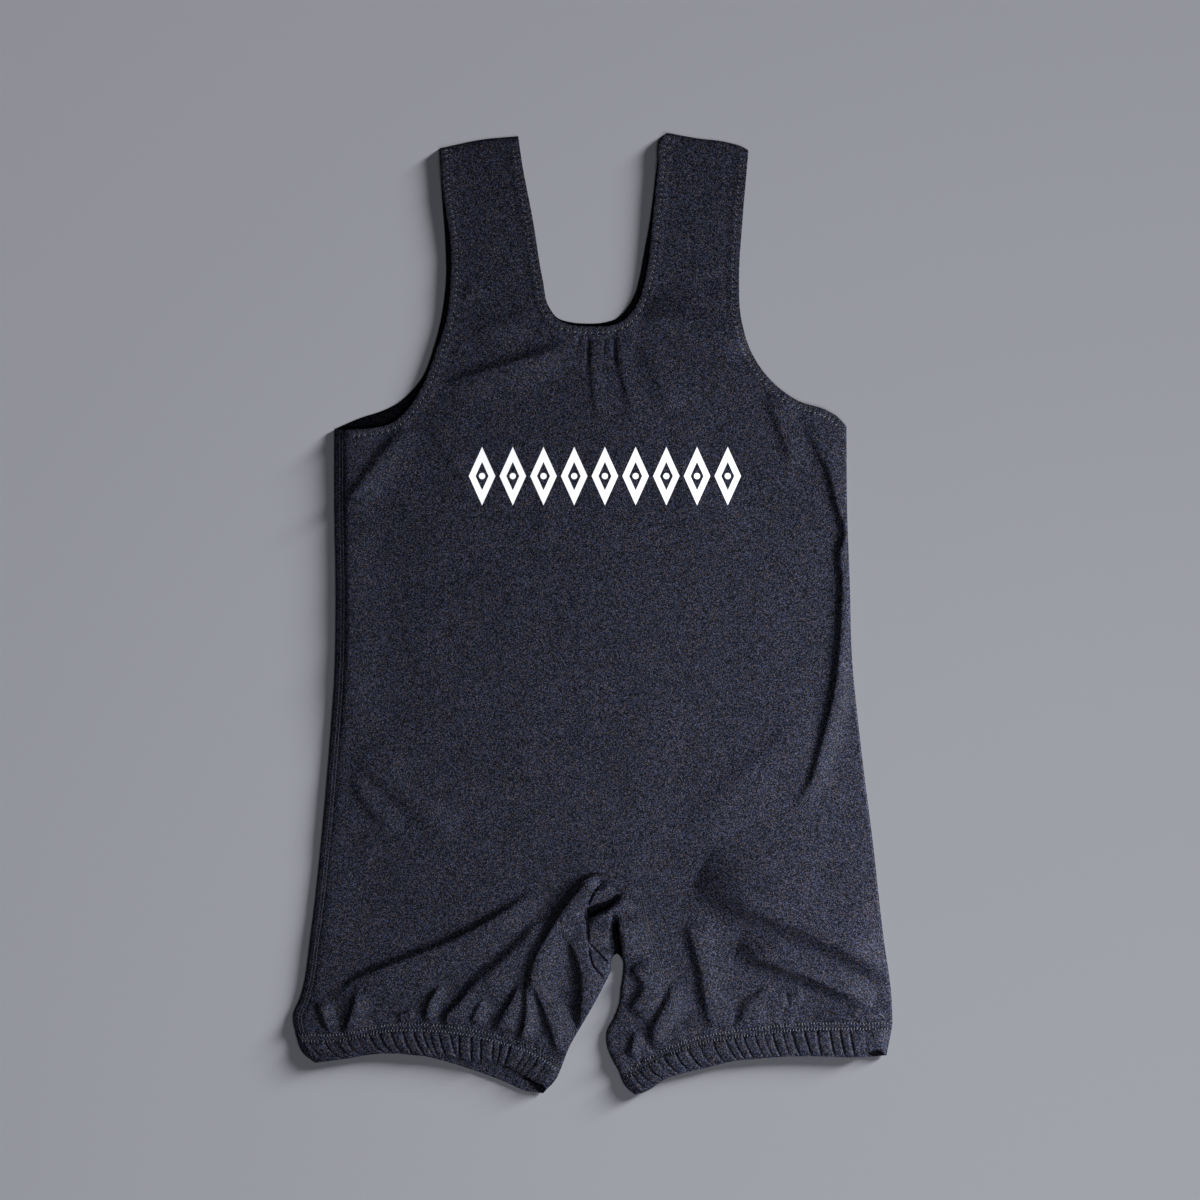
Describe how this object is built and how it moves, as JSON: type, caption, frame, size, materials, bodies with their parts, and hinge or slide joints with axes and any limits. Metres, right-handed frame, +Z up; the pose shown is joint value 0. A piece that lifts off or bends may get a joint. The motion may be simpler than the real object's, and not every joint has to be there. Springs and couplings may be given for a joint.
{
  "type": "athletic singlet",
  "caption": "One-piece stretch-knit sports singlet laid flat, with wide shoulder straps, a deep U neck, a gathered crotch gusset and elastic leg bands.",
  "frame": {"origin": "on the surface the garment lies on, under the middle of its outline", "axes": "+Y from the leg bands to the shoulder straps, +Z up from the surface through the back panel and then the front panel, +X to the right as the garment is seen from above"},
  "size_m": [0.449, 0.721, 0.011],
  "materials": {
    "stretch_knit": "matt heathered stretch knit with a soft sheen",
    "band_knit": "matt stretch knit gathered over elastic"
  },
  "bodies": {
    "root": {"front_panel": "stretch_knit", "back_panel": "stretch_knit", "gusset": "stretch_knit", "left_leg_band": "band_knit", "right_leg_band": "band_knit"}
  },
  "joints": []
}
